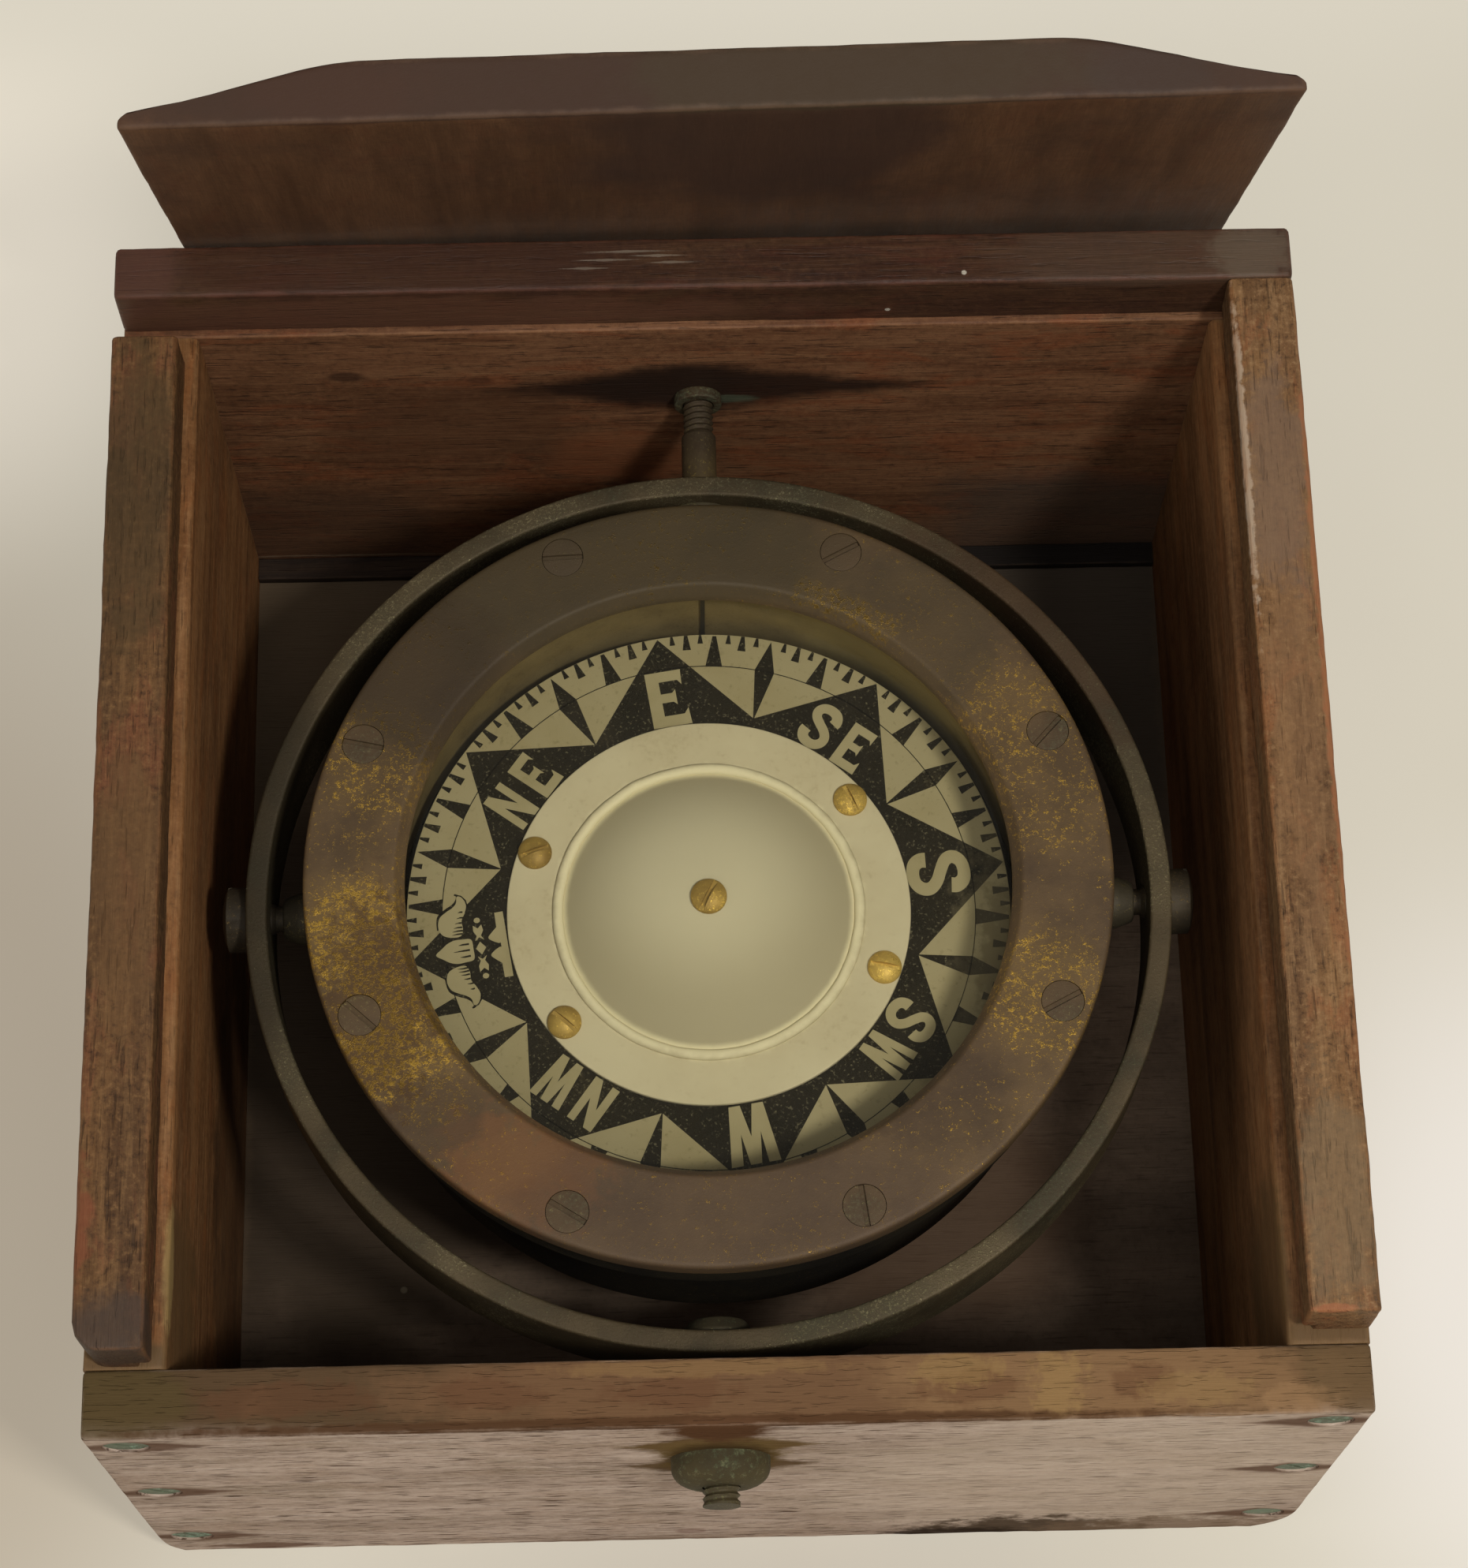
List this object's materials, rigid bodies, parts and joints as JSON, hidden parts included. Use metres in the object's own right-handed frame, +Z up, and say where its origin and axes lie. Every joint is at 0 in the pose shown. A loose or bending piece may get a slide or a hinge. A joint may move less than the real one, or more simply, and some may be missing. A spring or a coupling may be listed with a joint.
{
  "type": "box compass",
  "caption": "Liquid boat compass with a floating card, hung in a gimbal ring inside a square hardwood box with a sliding lid drawn out behind it.",
  "frame": {"origin": "centre of the box's underside, on the surface that it stands on", "axes": "+X to the right of the box, +Y from the front face to the lid's side, +Z up"},
  "size_m": [0.18, 0.2281, 0.1677],
  "materials": {
    "wall_wood": "worn dark hardwood, thin old varnish",
    "bleached_wood": "sun-bleached bare hardwood",
    "floor_wood": "dark dusty board",
    "cleat_wood": "worn hardwood with reddish rubbed edges",
    "rail_wood": "dark red-brown varnished hardwood",
    "lid_wood": "dark mottled varnished hardwood",
    "dowel_wood": "pale dowel",
    "screw_brass": "brass with verdigris",
    "fitting_brass": "dull brown-green brass",
    "ring_brass": "grey-green aged brass",
    "bowl_brass": "dark oxidised brass",
    "bezel_brass": "brown patina worn through to gold",
    "bright_brass": "clean brass",
    "glass": "clear plate glass",
    "gasket": "black washer",
    "well_paint": "aged cream paint, olive with age",
    "black_paint": "black paint",
    "card_face": "printed cream card",
    "float_paint": "smooth cream enamel",
    "steel": "bright steel",
    "jewel_stone": "polished stone",
    "lead": "dull grey lead"
  },
  "bodies": {
    "box": {"front_wall": "bleached_wood", "rear_wall": "wall_wood", "left_wall": "wall_wood", "right_wall": "wall_wood", "floor_board": "floor_wood", "rear_batten": "floor_wood", "left_cleat": "cleat_wood", "right_cleat": "cleat_wood", "rear_rail": "rail_wood", "cleat_dowels": "dowel_wood", "wall_screws": "screw_brass", "floor_pins": "screw_brass", "front_pivot_screw": "fitting_brass", "front_pivot_nut": "screw_brass", "rear_pivot_screw": "fitting_brass", "rear_pivot_nut": "screw_brass", "rear_lock_nut": "fitting_brass"},
    "gimbal": {"gimbal_ring": "ring_brass", "ring_bushes": "fitting_brass", "bowl_pivot_screws": "fitting_brass"},
    "bowl": {"bowl_shell": "bowl_brass", "bowl_trunnions": "fitting_brass", "bezel_ring": "bezel_brass", "bezel_screws": "bezel_brass", "cover_glass": "glass", "glass_gasket": "gasket", "card_well": "well_paint", "lubber_line": "black_paint", "pivot_post": "bright_brass", "pivot_pin": "steel", "filler_plug": "fitting_brass", "diaphragm": "bright_brass", "bottom_cover": "bowl_brass", "bottom_screws": "fitting_brass", "ballast_weight": "lead", "ballast_screws": "fitting_brass"},
    "card": {"compass_card": "card_face", "float_shell": "float_paint", "float_base": "float_paint", "float_screws": "bright_brass", "cap_screw": "bright_brass", "jewel_cup": "bright_brass", "jewel": "jewel_stone", "needle_carriers": "bright_brass", "needle_magnets": "steel"},
    "lid": {"lid_panel": "lid_wood"}
  },
  "joints": [
    {"name": "ring_tilt", "type": "hinge", "parent": "box", "child": "gimbal", "pos_m": [-0.0012, -0.0068, 0.067], "axis": [0, 1, 0], "range_deg": [-40, 40]},
    {"name": "bowl_tilt", "type": "hinge", "parent": "gimbal", "child": "bowl", "pos_m": [-0.0012, -0.0068, 0.067], "axis": [1, 0, 0], "range_deg": [-40, 40]},
    {"name": "card_spin", "type": "hinge", "parent": "bowl", "child": "card", "pos_m": [-0.0012, -0.0068, 0.067], "axis": [0, 0, 1], "continuous": true},
    {"name": "lid_lift", "type": "slide", "parent": "box", "child": "lid", "axis": [0.0048, -0.2756, 0.9613], "range_m": [0, 0.15]}
  ]
}
